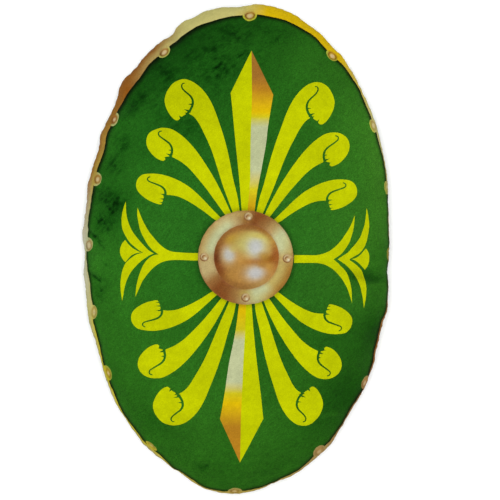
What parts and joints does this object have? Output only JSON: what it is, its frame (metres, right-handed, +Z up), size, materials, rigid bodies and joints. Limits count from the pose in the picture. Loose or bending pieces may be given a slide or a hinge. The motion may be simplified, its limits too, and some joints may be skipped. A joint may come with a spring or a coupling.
{
  "type": "plush shield cushion",
  "caption": "Stuffed oval plush cushion shaped as an ancient oval shield, with the boss, rim and rayed ornament printed on its face.",
  "frame": {"origin": "on the surface the cushion rests on, under the middle of its outline", "axes": "+Z up out of the face, +Y to the shield's top, +X to the right edge of the face"},
  "size_m": [0.3134, 0.4992, 0.086],
  "materials": {
    "plush_cover": "brushed short-pile plush, dark green ground with a printed yellow, copper and brass ornament"
  },
  "bodies": {
    "root": {"cushion": "plush_cover"}
  },
  "joints": []
}
